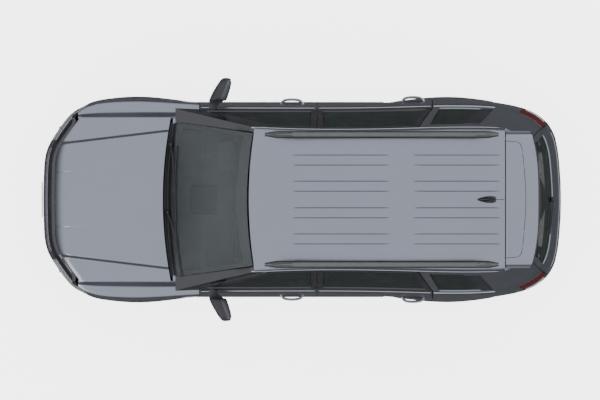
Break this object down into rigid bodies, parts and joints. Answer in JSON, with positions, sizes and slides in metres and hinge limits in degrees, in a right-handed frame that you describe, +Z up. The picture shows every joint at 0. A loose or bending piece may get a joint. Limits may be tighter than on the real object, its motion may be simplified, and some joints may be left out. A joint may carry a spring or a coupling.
{
  "type": "suv",
  "caption": "Full-size seven-seat SUV with hinged doors, hood and tailgate, steered front wheels, roof rails, seats and a ladder frame.",
  "frame": {"origin": "on the ground, midway between the front and rear ends and between the sides", "axes": "+X forward, +Y to the car's left, +Z up"},
  "size_m": [4.914, 2.3, 1.842],
  "materials": {
    "body_paint": "metallic grey clear-coated paint",
    "dark_plastic": "grained black plastic",
    "tinted_glass": "tinted safety glass",
    "tyre_rubber": "moulded rubber",
    "alloy": "satin machined",
    "chassis_black": "black chassis paint",
    "exhaust_steel": "dull stainless",
    "seat_fabric": "woven dark grey",
    "cabin_trim": "grained soft plastic",
    "clear_lens": "clear polycarbonate",
    "red_lens": "red polycarbonate",
    "plate_blank": "blank number plate"
  },
  "bodies": {
    "body": {"ladder_frame": "chassis_black", "floor_pan": "cabin_trim", "body_side_left": "body_paint", "body_side_right": "body_paint", "roof_panel": "body_paint", "windscreen": "tinted_glass", "cowl_panel": "dark_plastic", "quarter_glass_left": "tinted_glass", "quarter_glass_right": "tinted_glass", "front_fender_left": "body_paint", "front_fender_right": "body_paint", "front_bumper": "dark_plastic", "grille": "dark_plastic", "headlamp_left": "clear_lens", "headlamp_right": "clear_lens", "number_plate_front": "plate_blank", "rear_bumper": "dark_plastic", "tail_lamp_left": "red_lens", "tail_lamp_right": "red_lens", "roof_rail_left": "alloy", "roof_rail_right": "alloy", "rear_axle": "chassis_black", "engine_and_gearbox": "chassis_black", "exhaust": "exhaust_steel", "fuel_tank": "chassis_black", "spare_wheel": "tyre_rubber", "dashboard": "cabin_trim", "front_seat_left": "seat_fabric", "front_seat_right": "seat_fabric", "second_row_seat": "seat_fabric", "third_row_seat": "seat_fabric"},
    "hood": {"hood": "body_paint"},
    "tailgate": {"tailgate": "body_paint", "tailgate_glass": "tinted_glass", "number_plate_rear": "plate_blank"},
    "steering_wheel": {"steering_wheel": "cabin_trim"},
    "front_door_left": {"front_door_left": "body_paint", "front_door_glass_left": "tinted_glass", "door_mirror_left": "dark_plastic"},
    "rear_door_left": {"rear_door_left": "body_paint", "rear_door_glass_left": "tinted_glass"},
    "front_knuckle_left": {"front_knuckle_left": "chassis_black"},
    "front_wheel_left": {"front_tyre_left": "tyre_rubber", "front_rim_left": "alloy"},
    "rear_wheel_left": {"rear_tyre_left": "tyre_rubber", "rear_rim_left": "alloy"},
    "front_door_right": {"front_door_right": "body_paint", "front_door_glass_right": "tinted_glass", "door_mirror_right": "dark_plastic"},
    "rear_door_right": {"rear_door_right": "body_paint", "rear_door_glass_right": "tinted_glass"},
    "front_knuckle_right": {"front_knuckle_right": "chassis_black"},
    "front_wheel_right": {"front_tyre_right": "tyre_rubber", "front_rim_right": "alloy"},
    "rear_wheel_right": {"rear_tyre_right": "tyre_rubber", "rear_rim_right": "alloy"}
  },
  "joints": [
    {"name": "steer_left", "type": "hinge", "parent": "body", "child": "front_knuckle_left", "pos_m": [1.552, 0.74, 0.394], "axis": [0, 0, 1], "range_deg": [-35, 35]},
    {"name": "steer_right", "type": "hinge", "parent": "body", "child": "front_knuckle_right", "pos_m": [1.552, -0.74, 0.394], "axis": [0, 0, 1], "range_deg": [-35, 35]},
    {"name": "steering_wheel_turn", "type": "hinge", "parent": "body", "child": "steering_wheel", "pos_m": [0.48, -0.4, 1.04], "axis": [-0.9135, 0, 0.4067], "range_deg": [-525, 525]},
    {"name": "front_wheel_left_spin", "type": "hinge", "parent": "front_knuckle_left", "child": "front_wheel_left", "pos_m": [1.552, 0.81, 0.394], "axis": [0, 1, 0], "continuous": true},
    {"name": "rear_wheel_left_spin", "type": "hinge", "parent": "body", "child": "rear_wheel_left", "pos_m": [-1.348, 0.81, 0.394], "axis": [0, 1, 0], "continuous": true},
    {"name": "front_door_left_hinge", "type": "hinge", "parent": "body", "child": "front_door_left", "pos_m": [0.897, 0.89286, 0.75], "axis": [0, 0, -1], "range_deg": [0, 68]},
    {"name": "rear_door_left_hinge", "type": "hinge", "parent": "body", "child": "rear_door_left", "pos_m": [-0.21, 0.88623, 0.75], "axis": [0, 0, -1], "range_deg": [0, 72]},
    {"name": "front_wheel_right_spin", "type": "hinge", "parent": "front_knuckle_right", "child": "front_wheel_right", "pos_m": [1.552, -0.81, 0.394], "axis": [0, 1, 0], "continuous": true},
    {"name": "rear_wheel_right_spin", "type": "hinge", "parent": "body", "child": "rear_wheel_right", "pos_m": [-1.348, -0.81, 0.394], "axis": [0, 1, 0], "continuous": true},
    {"name": "front_door_right_hinge", "type": "hinge", "parent": "body", "child": "front_door_right", "pos_m": [0.897, -0.89286, 0.75], "axis": [0, 0, 1], "range_deg": [0, 68]},
    {"name": "rear_door_right_hinge", "type": "hinge", "parent": "body", "child": "rear_door_right", "pos_m": [-0.21, -0.88623, 0.75], "axis": [0, 0, 1], "range_deg": [0, 72]},
    {"name": "hood_hinge", "type": "hinge", "parent": "body", "child": "hood", "pos_m": [1.226, 0, 1.15], "axis": [0, -1, 0], "range_deg": [0, 55]},
    {"name": "tailgate_hinge", "type": "hinge", "parent": "body", "child": "tailgate", "pos_m": [-1.914, 0, 1.76], "axis": [0, 1, 0], "range_deg": [0, 85]}
  ],
  "couplings": [
    {"joint": "steer_right", "follows": "steer_left", "ratio": 1},
    {"joint": "steering_wheel_turn", "follows": "steer_left", "ratio": 15}
  ]
}
